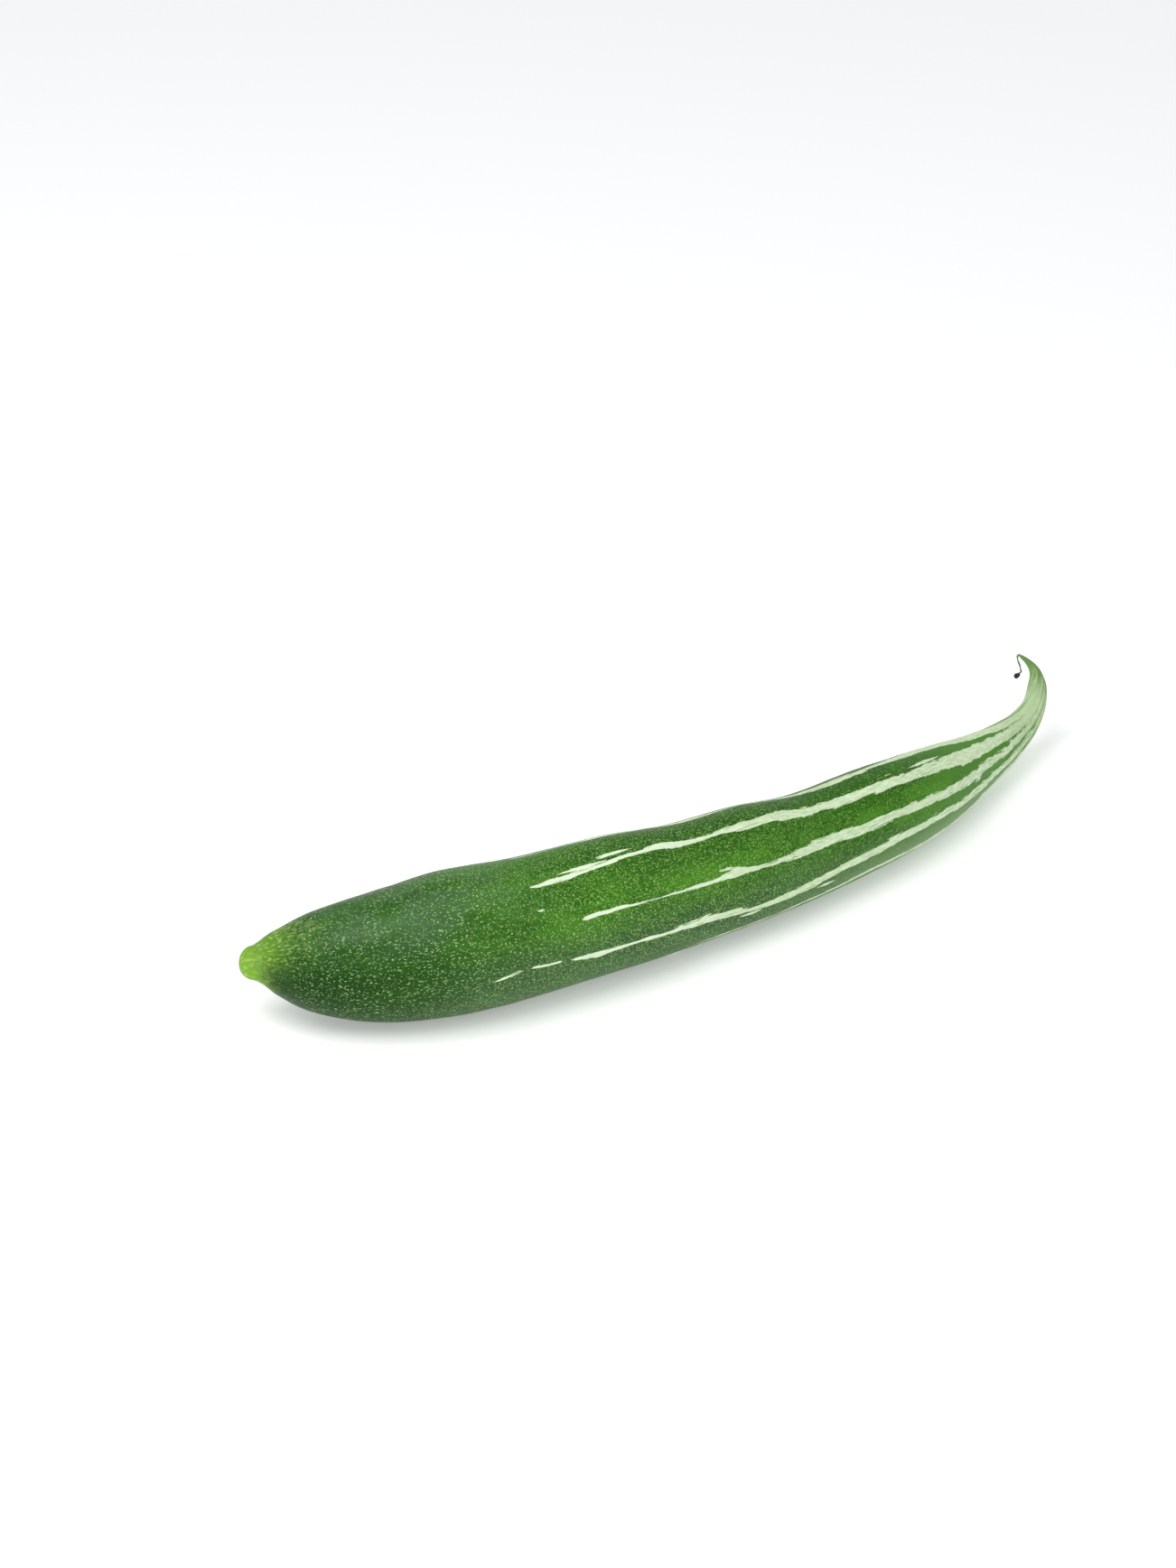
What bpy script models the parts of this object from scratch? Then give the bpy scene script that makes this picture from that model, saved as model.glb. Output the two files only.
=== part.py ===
"""Snake gourd: a curved fruit that lies on its belly, with its dried stalk. Metres, +Z up."""

from math import cos, pi, radians, sin, sqrt

import bmesh
import bpy
from mathutils import Vector

# Lengths along the fruit's middle line, from the blossom end to the stalk tip
FRUIT_LENGTH = 0.362
SHOULDER_LENGTH = 0.069
NECK_LENGTH = 0.126
NUB_DOME = 0.004
TIP_DOME = 0.0005

# Radii of the skin
NUB_RADIUS = 0.0050
BELLY_RADIUS = 0.0231
NECK_RADIUS = 0.0169
TIP_RADIUS = 0.0006

# How it lies: both ends lift clear of the ground, and the belly is a little flat where it rests
NUB_LIFT = 0.0153
TIP_LIFT = 0.0291
REST_DEPTH = 0.0003

# The skin and the lie change along three stretches. Each row is the part of the way along the
# stretch, the part of the way from its first radius to its last, the part of the end's lift,
# and the heading in degrees.
SHOULDER = (
    (0.00, 0.00, 1.00, -40.0),
    (0.06, 0.03, 0.98, -40.0),
    (0.17, 0.29, 0.71, -38.0),
    (0.33, 0.59, 0.36, -35.0),
    (0.55, 0.80, 0.13, -28.0),
    (0.75, 0.92, 0.03, -21.0),
)
BELLY = (
    (0.00, 0.00, 0.00, -14.0),
    (0.15, 0.13, 0.00, -6.5),
    (0.33, 0.19, 0.00, -4.0),
    (0.50, 0.47, 0.00, -2.5),
    (0.65, 0.56, 0.00, 1.0),
    (0.81, 0.86, 0.00, 3.5),
)
NECK = (
    (0.00, 0.00, 0.00, 9.0),
    (0.17, 0.09, 0.00, 15.0),
    (0.32, 0.21, 0.00, 18.0),
    (0.45, 0.35, 0.03, 19.0),
    (0.59, 0.50, 0.08, 17.5),
    (0.71, 0.65, 0.20, 17.0),
    (0.81, 0.77, 0.38, 25.0),
    (0.90, 0.85, 0.65, 53.0),
    (0.95, 0.94, 0.86, 92.0),
    (0.98, 0.98, 0.95, 108.0),
    (1.00, 1.00, 1.00, 124.0),
)

# Dried stalk: its route is measured from the stalk tip, and it hangs down from there
FIT_GAP = 0.0003
THREAD_RADIUS = 0.00032
THREAD_ROUTE = (
    (0.0000, 0.0000, 0.0000),
    (-0.0003, 0.0004, 0.0001),
    (-0.00055, 0.00055, -0.0005),
    (-0.0004, 0.0003, -0.0020),
    (0.0001, -0.0002, -0.0038),
    (0.0004, -0.0004, -0.0056),
    (0.0005, -0.0005, -0.0064),
    (0.0002, -0.0003, -0.0068),
)
KNOB_LENGTH = 0.0022
KNOB_WIDTH = 0.0018

# Fineness of the surfaces
WALK_STEP = 0.001
RING_SPACING = 0.005
DOME_RINGS = 6
SKIN_FINENESS = 14
THREAD_FINENESS = 2


def clear_scene():
    for scene_object in list(bpy.data.objects):
        bpy.data.objects.remove(scene_object, do_unlink=True)


def new_collection(name):
    collection = bpy.data.collections.new(name)
    bpy.context.scene.collection.children.link(collection)
    return collection


def new_material(name, colour, roughness):
    material = bpy.data.materials.new(name)
    material.use_nodes = True
    shader = material.node_tree.nodes["Principled BSDF"]
    shader.inputs["Base Color"].default_value = (*colour, 1.0)
    shader.inputs["Roughness"].default_value = roughness
    shader.inputs["Metallic"].default_value = 0.0
    return material


def between(first, last, part):
    return first + (last - first) * part


def lie_rows():
    """A row for each change of curve: distance, radius, height of the middle line, heading."""
    neck_start = FRUIT_LENGTH - NECK_LENGTH
    stretches = (
        (SHOULDER, 0.0, SHOULDER_LENGTH, NUB_RADIUS, BELLY_RADIUS, NUB_LIFT),
        (BELLY, SHOULDER_LENGTH, neck_start, BELLY_RADIUS, NECK_RADIUS, 0.0),
        (NECK, neck_start, FRUIT_LENGTH, NECK_RADIUS, TIP_RADIUS, TIP_LIFT),
    )
    rows = []
    for stretch, start, end, first_radius, last_radius, lift in stretches:
        for along, across, lifted, heading in stretch:
            radius = between(first_radius, last_radius, across)
            height = radius + lifted * lift - REST_DEPTH
            rows.append((between(start, end, along), radius, height, heading))
    return rows


def smooth(rows, column, distance):
    """Read a column at a distance, on a smooth curve that never overshoots its rows."""
    places = [row[0] for row in rows]
    values = [row[column] for row in rows]
    distance = min(max(distance, places[0]), places[-1])
    slopes = [
        (values[i + 1] - values[i]) / (places[i + 1] - places[i]) for i in range(len(rows) - 1)
    ]
    tangents = [slopes[0]]
    for before, after in zip(slopes, slopes[1:]):
        same_way = before * after > 0.0
        tangents.append(2.0 * before * after / (before + after) if same_way else 0.0)
    tangents.append(slopes[-1])
    i = 0
    while i < len(slopes) - 1 and distance > places[i + 1]:
        i += 1
    span = places[i + 1] - places[i]
    t = (distance - places[i]) / span
    return (
        (1.0 + 2.0 * t) * (1.0 - t) ** 2 * values[i]
        + t * (1.0 - t) ** 2 * span * tangents[i]
        + t * t * (3.0 - 2.0 * t) * values[i + 1]
        + t * t * (t - 1.0) * span * tangents[i + 1]
    )


def skin_radius(rows, distance):
    """Radius of the skin, closed by a rounded dome at each end."""
    radius = smooth(rows, 1, distance)
    for depth, dome in ((distance, NUB_DOME), (FRUIT_LENGTH - distance, TIP_DOME)):
        if depth < dome:
            radius *= sqrt(max(0.0, 1.0 - (1.0 - depth / dome) ** 2))
    return radius


def walk_middle_line(rows):
    """Points of the middle line, a short step at a time, centred on the middle of the belly."""
    steps = round(FRUIT_LENGTH / WALK_STEP)
    step = FRUIT_LENGTH / steps
    line = [Vector((0.0, 0.0, smooth(rows, 2, 0.0)))]
    for i in range(steps):
        height = smooth(rows, 2, (i + 1) * step)
        heading = radians(smooth(rows, 3, (i + 0.5) * step))
        rise = height - line[-1].z
        run = sqrt(max(step * step - rise * rise, 0.0))
        line.append(line[-1] + Vector((run * cos(heading), run * sin(heading), rise)))
    belly_middle = (SHOULDER_LENGTH + FRUIT_LENGTH - NECK_LENGTH) / 2.0
    centre = point_at(line, belly_middle)
    centre.z = 0.0
    return [point - centre for point in line]


def point_at(line, distance):
    place = distance / FRUIT_LENGTH * (len(line) - 1)
    i = min(int(place), len(line) - 2)
    return line[i].lerp(line[i + 1], place - i)


def ring_distances():
    """Where the skin's rings go: bunched on each dome and evenly spaced between."""
    turns = [0.5 * pi * i / DOME_RINGS for i in range(1, DOME_RINGS)]
    nub = [NUB_DOME * (1.0 - cos(turn)) for turn in turns]
    tip = [FRUIT_LENGTH - TIP_DOME * (1.0 - cos(turn)) for turn in reversed(turns)]
    body_length = FRUIT_LENGTH - NUB_DOME - TIP_DOME
    count = round(body_length / RING_SPACING)
    body = [NUB_DOME + body_length * i / count for i in range(count + 1)]
    return nub + body + tip


def add_tube_curve(name, collection, bevel_depth, fineness):
    """A bevelled curve object with closed ends and no splines yet."""
    curve = bpy.data.curves.new(name, "CURVE")
    curve.dimensions = "3D"
    curve.twist_mode = "Z_UP"
    curve.bevel_depth = bevel_depth
    curve.bevel_resolution = fineness
    curve.use_fill_caps = True
    tube = bpy.data.objects.new(name, curve)
    collection.objects.link(tube)
    return tube


def make_mesh_of(tube, collection):
    """Replace a curve object by a closed mesh object with its name and place."""
    bpy.context.view_layer.update()
    depsgraph = bpy.context.evaluated_depsgraph_get()
    mesh = bpy.data.meshes.new_from_object(tube.evaluated_get(depsgraph))
    welded = bmesh.new()
    welded.from_mesh(mesh)
    bmesh.ops.remove_doubles(welded, verts=welded.verts, dist=0.000001)
    welded.to_mesh(mesh)
    welded.free()
    name = tube.name
    place = tube.matrix_world.copy()
    bpy.data.objects.remove(tube, do_unlink=True)
    solid = bpy.data.objects.new(name, mesh)
    solid.matrix_world = place
    collection.objects.link(solid)
    return solid


def add_ground_cutter(collection, line):
    """A slab whose top is the ground, wider than the fruit on every side."""
    reach = 2.0 * BELLY_RADIUS
    low = Vector((min(point.x for point in line), min(point.y for point in line), 0.0))
    high = Vector((max(point.x for point in line), max(point.y for point in line), 0.0))
    bpy.ops.mesh.primitive_cube_add(size=1.0)
    slab = bpy.context.object
    slab.name = "ground_cutter"
    slab.scale = high - low + Vector((2.0 * reach, 2.0 * reach, reach))
    slab.location = (low + high) / 2.0 - Vector((0.0, 0.0, reach / 2.0))
    bpy.ops.object.transform_apply(location=False, rotation=False, scale=True)
    for owner in list(slab.users_collection):
        owner.objects.unlink(slab)
    collection.objects.link(slab)
    slab.hide_render = True
    slab.display_type = "WIRE"
    return slab


def make_fruit(parts, cutters, rows, line):
    """The whole gourd: a tube with the skin's radii, cut flat where the belly rests."""
    tube = add_tube_curve("fruit", parts, 1.0, SKIN_FINENESS)
    distances = ring_distances()
    spline = tube.data.splines.new("POLY")
    spline.points.add(len(distances) - 1)
    for point, distance in zip(spline.points, distances):
        point.co = (*point_at(line, distance), 1.0)
        point.radius = skin_radius(rows, distance)
    fruit = make_mesh_of(tube, parts)
    fruit.data.shade_smooth()
    flat = fruit.modifiers.new("resting_flat", "BOOLEAN")
    flat.operation = "DIFFERENCE"
    flat.solver = "EXACT"
    flat.object = add_ground_cutter(cutters, line)
    fruit.data.materials.clear()
    fruit.data.materials.append(new_material("gourd_skin", (0.10, 0.24, 0.05), 0.42))
    return fruit


def make_thread(parts, line):
    """The dried stalk, a bent wire that starts just off the stalk tip."""
    onward = (line[-1] - line[-2]).normalized()
    thread = add_tube_curve("stalk_thread", parts, THREAD_RADIUS, THREAD_FINENESS)
    thread.location = line[-1] + onward * FIT_GAP
    spline = thread.data.splines.new("BEZIER")
    spline.resolution_u = 4
    spline.bezier_points.add(len(THREAD_ROUTE) - 1)
    for point, place in zip(spline.bezier_points, THREAD_ROUTE):
        point.co = place
        point.handle_left_type = "AUTO"
        point.handle_right_type = "AUTO"
    thread.data.materials.append(new_material("dried_stalk", (0.20, 0.19, 0.08), 0.7))
    return thread


def make_knob(parts, thread):
    """The shrivelled knob, in line with the end of the thread and just off it."""
    last = Vector(THREAD_ROUTE[-1])
    onward = (last - Vector(THREAD_ROUTE[-2])).normalized()
    mesh = bpy.data.meshes.new("withered_knob")
    ball = bmesh.new()
    bmesh.ops.create_uvsphere(ball, u_segments=14, v_segments=10, radius=0.5)
    bmesh.ops.scale(ball, vec=(KNOB_WIDTH, KNOB_WIDTH, KNOB_LENGTH), verts=ball.verts)
    ball.to_mesh(mesh)
    ball.free()
    mesh.shade_smooth()
    knob = bpy.data.objects.new("withered_knob", mesh)
    knob.location = thread.location + last + onward * (FIT_GAP + KNOB_LENGTH / 2.0)
    knob.rotation_euler = onward.to_track_quat("Z", "Y").to_euler()
    mesh.materials.append(new_material("withered_scrap", (0.03, 0.03, 0.02), 0.85))
    parts.objects.link(knob)
    return knob


def main():
    clear_scene()
    parts = new_collection("snake_gourd")
    cutters = new_collection("cutters")
    rows = lie_rows()
    line = walk_middle_line(rows)
    make_fruit(parts, cutters, rows, line)
    thread = make_thread(parts, line)
    make_knob(parts, thread)


main()
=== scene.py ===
from math import cos, pi, radians, sin, sqrt

import bpy
import numpy as np
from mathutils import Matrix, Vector, noise


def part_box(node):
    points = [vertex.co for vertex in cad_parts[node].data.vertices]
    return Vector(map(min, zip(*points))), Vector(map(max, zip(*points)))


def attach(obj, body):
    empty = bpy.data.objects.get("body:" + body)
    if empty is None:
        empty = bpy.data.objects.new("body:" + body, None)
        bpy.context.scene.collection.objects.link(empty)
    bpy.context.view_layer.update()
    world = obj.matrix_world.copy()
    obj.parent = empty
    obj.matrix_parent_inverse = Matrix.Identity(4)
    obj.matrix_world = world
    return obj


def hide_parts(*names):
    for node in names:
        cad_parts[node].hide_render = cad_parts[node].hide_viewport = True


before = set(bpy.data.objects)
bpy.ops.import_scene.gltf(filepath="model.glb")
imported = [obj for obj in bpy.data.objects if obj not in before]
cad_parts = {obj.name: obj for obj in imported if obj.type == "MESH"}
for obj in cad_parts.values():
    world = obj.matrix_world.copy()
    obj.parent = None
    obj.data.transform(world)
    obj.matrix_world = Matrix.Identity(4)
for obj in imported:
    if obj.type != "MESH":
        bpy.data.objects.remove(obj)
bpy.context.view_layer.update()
body = "root"
mm = 1000.0  # in a metre
print("frame loaded:", ", ".join(sorted(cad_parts)))


class Wire:
    # one output socket of a material, which works in Python expressions
    def __init__(self, finish, socket):
        self.finish = finish
        self.socket = socket

    def math(self, operation, first, second=0.0):
        return self.finish.node("ShaderNodeMath", {"operation": operation}, {0: first, 1: second})

    def __add__(self, other):
        return self.math("ADD", self, other)

    def __radd__(self, other):
        return self.math("ADD", other, self)

    def __sub__(self, other):
        return self.math("SUBTRACT", self, other)

    def __rsub__(self, other):
        return self.math("SUBTRACT", other, self)

    def __mul__(self, other):
        return self.math("MULTIPLY", self, other)

    def __rmul__(self, other):
        return self.math("MULTIPLY", other, self)

    def __abs__(self):
        return self.math("ABSOLUTE", self)


class Finish:
    # a material whose nodes are added one by one round its Principled shader
    def __init__(self, name):
        self.material = bpy.data.materials.new(name)
        self.material.use_nodes = True
        self.tree = self.material.node_tree
        self.shader = self.tree.nodes["Principled BSDF"]

    def node(self, kind, settings=None, sockets=None, output=0):
        made = self.tree.nodes.new(kind)
        for key, value in (settings or {}).items():
            if key == "stops":
                fillRamp(made.color_ramp, value)
            else:
                setattr(made, key, value)
        for key, value in (sockets or {}).items():
            self.connect(findSocket(made.inputs, key), value)
        return Wire(self, findSocket(made.outputs, output))

    def connect(self, socket, value):
        if isinstance(value, Wire):
            self.tree.links.new(value.socket, socket)
        else:
            socket.default_value = value

    def set(self, **sockets):
        for key, value in sockets.items():
            self.connect(self.shader.inputs[key.replace("_", " ")], value)

    def attribute(self, name):
        return self.node("ShaderNodeAttribute", {"attribute_name": name}, output="Vector")

    def objectPlace(self):
        return self.node("ShaderNodeTexCoord", output="Object")

    def parts(self, vector):
        split = self.node("ShaderNodeSeparateXYZ", {}, {0: vector}).socket.node
        return [Wire(self, socket) for socket in split.outputs]

    def stretched(self, vector, scale):
        return self.node("ShaderNodeVectorMath", {"operation": "MULTIPLY"}, {0: vector, 1: scale})

    def cloud(self, vector, scale, detail=2.0, roughness=0.5):
        # smooth noise from 0 to 1
        place = self.stretched(vector, scale)
        sockets = {"Vector": place, "Scale": 1.0, "Detail": detail, "Roughness": roughness}
        return self.node("ShaderNodeTexNoise", {}, sockets, "Fac")

    def fade(self, value, start, end):
        # 0 at start, 1 at end and smooth between; start may be the larger one
        sockets = {"Value": value, "From Min": start, "From Max": end}
        return self.node("ShaderNodeMapRange", {"interpolation_type": "SMOOTHSTEP"}, sockets)

    def span(self, value, start, full, fading, end):
        # 0 up to start, 1 from full to fading, and 0 again from end
        return self.fade(value, start, full) * self.fade(value, end, fading)

    def spots(self, vector, scale, width):
        # round spots, and a random value for each of them
        place = self.stretched(vector, scale)
        cells = self.node("ShaderNodeTexVoronoi", {}, {"Vector": place, "Scale": 1.0}, "Distance")
        pick = self.parts(Wire(self, cells.socket.node.outputs["Color"]))[0]
        return self.fade(cells, width * 1.3, width * 0.7), pick

    def ramp(self, value, stops):
        return self.node("ShaderNodeValToRGB", {"stops": stops}, {0: value}, "Color")

    def mix(self, factor, first, second):
        sockets = {"Factor_Float": factor, "A_Color": first, "B_Color": second}
        return self.node("ShaderNodeMix", {"data_type": "RGBA"}, sockets, "Result_Color")

    def bump(self, height, depth):
        sockets = {"Height": height, "Distance": depth, "Strength": 1.0}
        return self.node("ShaderNodeBump", {}, sockets, "Normal")


def findSocket(sockets, key):
    if isinstance(key, int):
        return sockets[key]
    for socket in sockets:
        if key in (socket.identifier, socket.name):
            return socket
    raise KeyError(key)


def fillRamp(ramp, stops):
    while len(ramp.elements) > 1:
        ramp.elements.remove(ramp.elements[-1])
    for index, (place, colour) in enumerate(stops):
        element = ramp.elements[0] if index == 0 else ramp.elements.new(place)
        element.position = place
        element.color = colour


def tint(red, green, blue):
    # a colour as it looks on screen, 0 to 255, turned into the shader's linear values
    def linear(value):
        value /= 255.0
        return value / 12.92 if value <= 0.04045 else ((value + 0.055) / 1.055) ** 2.4
    return (linear(red), linear(green), linear(blue), 1.0)


def addObject(name, data):
    made = bpy.data.objects.new(name, data)
    bpy.context.scene.collection.objects.link(made)
    return made


# The fruit's shape, in metres and degrees. A row of a stretch says how far along it is, how far its
# radius is from the stretch's first to its last, how much of the end's lift it has, and its heading.
fruit = {
    "length": 0.362,
    "shoulderLength": 0.069,
    "neckLength": 0.126,
    "nubDome": 0.004,
    "tipDome": 0.0005,
    "nubRadius": 0.0050,
    "bellyRadius": 0.0231,
    "neckRadius": 0.0169,
    "tipRadius": 0.0006,
    "nubLift": 0.0153,
    "tipLift": 0.0291,
    "restDepth": 0.0003,
    "shoulder": (
        (0.00, 0.00, 1.00, -40.0), (0.06, 0.03, 0.98, -40.0), (0.17, 0.29, 0.71, -38.0),
        (0.33, 0.59, 0.36, -35.0), (0.55, 0.80, 0.13, -28.0), (0.75, 0.92, 0.03, -21.0),
    ),
    "belly": (
        (0.00, 0.00, 0.00, -14.0), (0.15, 0.13, 0.00, -6.5), (0.33, 0.19, 0.00, -4.0),
        (0.50, 0.47, 0.00, -2.5), (0.65, 0.56, 0.00, 1.0), (0.81, 0.86, 0.00, 3.5),
    ),
    "neck": (
        (0.00, 0.00, 0.00, 9.0), (0.17, 0.09, 0.00, 15.0), (0.32, 0.21, 0.00, 18.0),
        (0.45, 0.35, 0.03, 19.0), (0.59, 0.50, 0.08, 17.5), (0.71, 0.65, 0.20, 17.0),
        (0.81, 0.77, 0.38, 25.0), (0.90, 0.85, 0.65, 53.0), (0.95, 0.94, 0.86, 92.0),
        (0.98, 0.98, 0.95, 108.0), (1.00, 1.00, 1.00, 124.0),
    ),
    "lineSteps": 362,
    "ringsAlong": 620,
    "pointsAround": 144,
    "domeRings": 12,
    "pressDepth": 0.0004,
}


def between(first, last, part):
    return first + (last - first) * part


def lieRows():
    # distance, radius, height of the middle line and heading at each change of curve
    neckStart = fruit["length"] - fruit["neckLength"]
    shoulderEnd = fruit["shoulderLength"]
    nub, belly, neck, tip = (fruit[part + "Radius"] for part in ("nub", "belly", "neck", "tip"))
    stretches = (
        (fruit["shoulder"], 0.0, shoulderEnd, nub, belly, fruit["nubLift"]),
        (fruit["belly"], shoulderEnd, neckStart, belly, neck, 0.0),
        (fruit["neck"], neckStart, fruit["length"], neck, tip, fruit["tipLift"]),
    )
    rows = []
    for stretch, start, end, firstRadius, lastRadius, lift in stretches:
        for along, across, lifted, heading in stretch:
            radius = between(firstRadius, lastRadius, across)
            height = radius + lifted * lift - fruit["restDepth"]
            rows.append((between(start, end, along), radius, height, heading))
    return rows


def smooth(rows, column, distance):
    # a smooth curve through a column of rows, which never overshoots them
    places = [row[0] for row in rows]
    values = [row[column] for row in rows]
    distance = min(max(distance, places[0]), places[-1])
    slopes = [(b - a) / (q - p) for a, b, p, q in zip(values, values[1:], places, places[1:])]
    tangents = [slopes[0]]
    for before, after in zip(slopes, slopes[1:]):
        tangents.append(2.0 * before * after / (before + after) if before * after > 0.0 else 0.0)
    tangents.append(slopes[-1])
    i = 0
    while i < len(slopes) - 1 and distance > places[i + 1]:
        i += 1
    span = places[i + 1] - places[i]
    t = (distance - places[i]) / span
    return (
        (1.0 + 2.0 * t) * (1.0 - t) ** 2 * values[i]
        + t * (1.0 - t) ** 2 * span * tangents[i]
        + t * t * (3.0 - 2.0 * t) * values[i + 1]
        + t * t * (t - 1.0) * span * tangents[i + 1]
    )


def skinRadius(rows, distance):
    radius = smooth(rows, 1, distance)
    for depth, dome in ((distance, fruit["nubDome"]), (fruit["length"] - distance, fruit["tipDome"])):
        if depth < dome:
            radius *= sqrt(max(0.0, 1.0 - (1.0 - depth / dome) ** 2))
    return radius


def walkMiddleLine(rows):
    # the middle line as an array of points, a millimetre apart, centred on the middle of the belly
    step = fruit["length"] / fruit["lineSteps"]
    line = [Vector((0.0, 0.0, smooth(rows, 2, 0.0)))]
    for i in range(fruit["lineSteps"]):
        rise = smooth(rows, 2, (i + 1) * step) - line[-1].z
        heading = radians(smooth(rows, 3, (i + 0.5) * step))
        run = sqrt(max(step * step - rise * rise, 0.0))
        line.append(line[-1] + Vector((run * cos(heading), run * sin(heading), rise)))
    line = np.array(line)
    middle = (fruit["shoulderLength"] + fruit["length"] - fruit["neckLength"]) / 2.0
    centre = readLine(line, np.array([middle]))[0]
    line[:, :2] -= centre[:2]
    return line


def readLine(line, distances):
    places = np.linspace(0.0, fruit["length"], len(line))
    return np.stack([np.interp(distances, places, line[:, axis]) for axis in range(3)], axis=1)


def ringDistances():
    # bunched on each dome, evenly spaced between
    turns = np.linspace(0.0, pi / 2.0, fruit["domeRings"] + 1)[1:]
    nub = fruit["nubDome"] * (1.0 - np.cos(turns))
    tip = fruit["length"] - fruit["tipDome"] * (1.0 - np.cos(turns))
    middle = np.linspace(nub[-1], tip[-1], fruit["ringsAlong"])[1:-1]
    return np.concatenate([nub, middle, tip[::-1]])


# Each pale stripe is a list of (distance along in mm, angle in degrees, half width in mm). Angle 0
# is the top, and angles grow towards the -Y side. Below 0 the half width leaves a break.
stripes = {
    "ridge": ((85, -22, -0.8), (96, -20, 0.6), (108, -22, 0.3), (132, -20, 1.6), (145, -22, 0.5),
              (157, -20, 1.5), (175, -22, 0.6), (200, -18, 1.0), (220, -14, 1.9), (240, -12, 1.3),
              (265, -15, 2.8), (290, -10, 3.0), (310, -5, 3.0), (335, 0, 2.4)),
    "upper": ((88, 27, -0.8), (91, 27, 0.5), (104, 25, 1.0), (116, 23, 1.0), (124, 21, 0.8),
              (131, 20, 0.8), (140, 18, 1.7), (150, 18, 0.9), (162, 18, 0.8), (173, 19, 2.3),
              (182, 19, 1.9), (192, 20, 2.3), (210, 22, 1.9), (245, 26, 2.0), (270, 30, 2.7),
              (286, 33, 3.2), (305, 32, 2.2), (335, 36, 1.5)),
    "front": ((101, 63, -0.8), (105, 63, 0.6), (117, 63, 0.6), (122, 64, 0.35), (150, 62, 0.45),
              (163, 61, 1.2), (176, 64, 0.8), (190, 62, 1.4), (203, 59, 2.0), (215, 60, 1.7),
              (240, 62, 1.6), (260, 65, 1.6), (300, 63, 1.3), (335, 57, 1.2)),
    "side": ((72, 99, -0.6), (75, 98, 0.7), (81, 95, 0.6), (83, 95, -0.3), (86, 94, 0.55),
             (94, 94, 0.5), (96, 95, -0.5), (100, 96, 0.7), (110, 98, 1.0), (122, 98, 0.6),
             (133, 98, 0.6), (147, 97, 1.6), (160, 99, 1.5), (170, 104, 0.9), (182, 103, 1.8),
             (198, 98, 1.6), (220, 92, 1.6), (245, 89, 1.3), (280, 90, 1.5), (335, 84, 1.2)),
    "under": ((140, 134, -0.8), (150, 132, 0.3), (180, 130, 0.8), (225, 123, 1.1),
              (260, 124, 1.4), (290, 118, 1.5), (335, 112, 1.2)),
}
# The stripes round the back share one row of widths, each with a start and a wander of its own.
backStripes = {
    "angles": (168.0, 203.0, 238.0, 273.0, 306.0),
    "starts": (118.0, 96.0, 109.0, 88.0, 101.0),
    "widths": ((-6, -0.8), (0, 0.3), (20, 0.7), (45, 1.0), (75, 1.6), (110, 1.9), (160, 2.0), (200, 1.8)),
    "wander": 8.0,
    "wanderLength": 40.0,
    "wanderSeed": (5.3, 3.7),
    "swell": 0.5,
    "swellLength": 25.0,
    "swellSeed": (9.1, 2.0),
}
# Loose flecks beside the stripes: start and end in mm, angle in degrees, half width in mm.
flecks = (
    (70, 73, 250, 0.4), (89, 92, 48, 0.35), (94, 101, 236, 0.5), (101, 120, 20, 0.75),
    (116, 129, 14, 0.6), (128, 136, 231, 0.5), (143, 150, 160, 0.5), (156, 162, 55, 0.35),
    (165, 178, 262, 0.5), (163, 172, 108, 0.7), (193, 201, 55, 0.5), (206, 216, 178, 0.6),
    (224, 232, 296, 0.5), (237, 241, 13, 0.4), (249, 267, 15, 0.7), (268, 276, 247, 0.5),
    (278, 284, 74, 0.5), (196, 204, 108, 0.5),
)
# What the skin's points hold where no fleck is near, and how far past a fleck's ends (in half
# lengths) and beside it (in mm) counts as near.
noFleck = {"offset": 9.0, "reach": -1.0}
nearFleck = {"past": 1.6, "beside": 5.0}
# How much of the gap between two stripes is pale as they run together on the neck, by mm along.
paleNeck = ((290, 0.0), (308, 0.52), (328, 0.72), (347, 1.25))


def easeIn(values, low, high):
    part = np.clip((values - low) / (high - low), 0.0, 1.0)
    return part * part * (3.0 - 2.0 * part)


def stripeRows():
    # every stripe from the top round, as rows of distance, angle and half width
    back = backStripes
    rows = list(stripes.values())
    for number, (angle, start) in enumerate(zip(back["angles"], back["starts"])):
        stripe = []
        for along, width in back["widths"]:
            step, seed = back["wanderSeed"]
            drift = noise.noise(Vector((along / back["wanderLength"], number * step, seed)))
            step, seed = back["swellSeed"]
            swell = noise.noise(Vector((along / back["swellLength"], number * step, seed)))
            turned = angle + back["wander"] * drift
            stripe.append((start + along, turned, width * (1.0 + back["swell"] * swell)))
        rows.append(tuple(stripe))
    return rows


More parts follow.
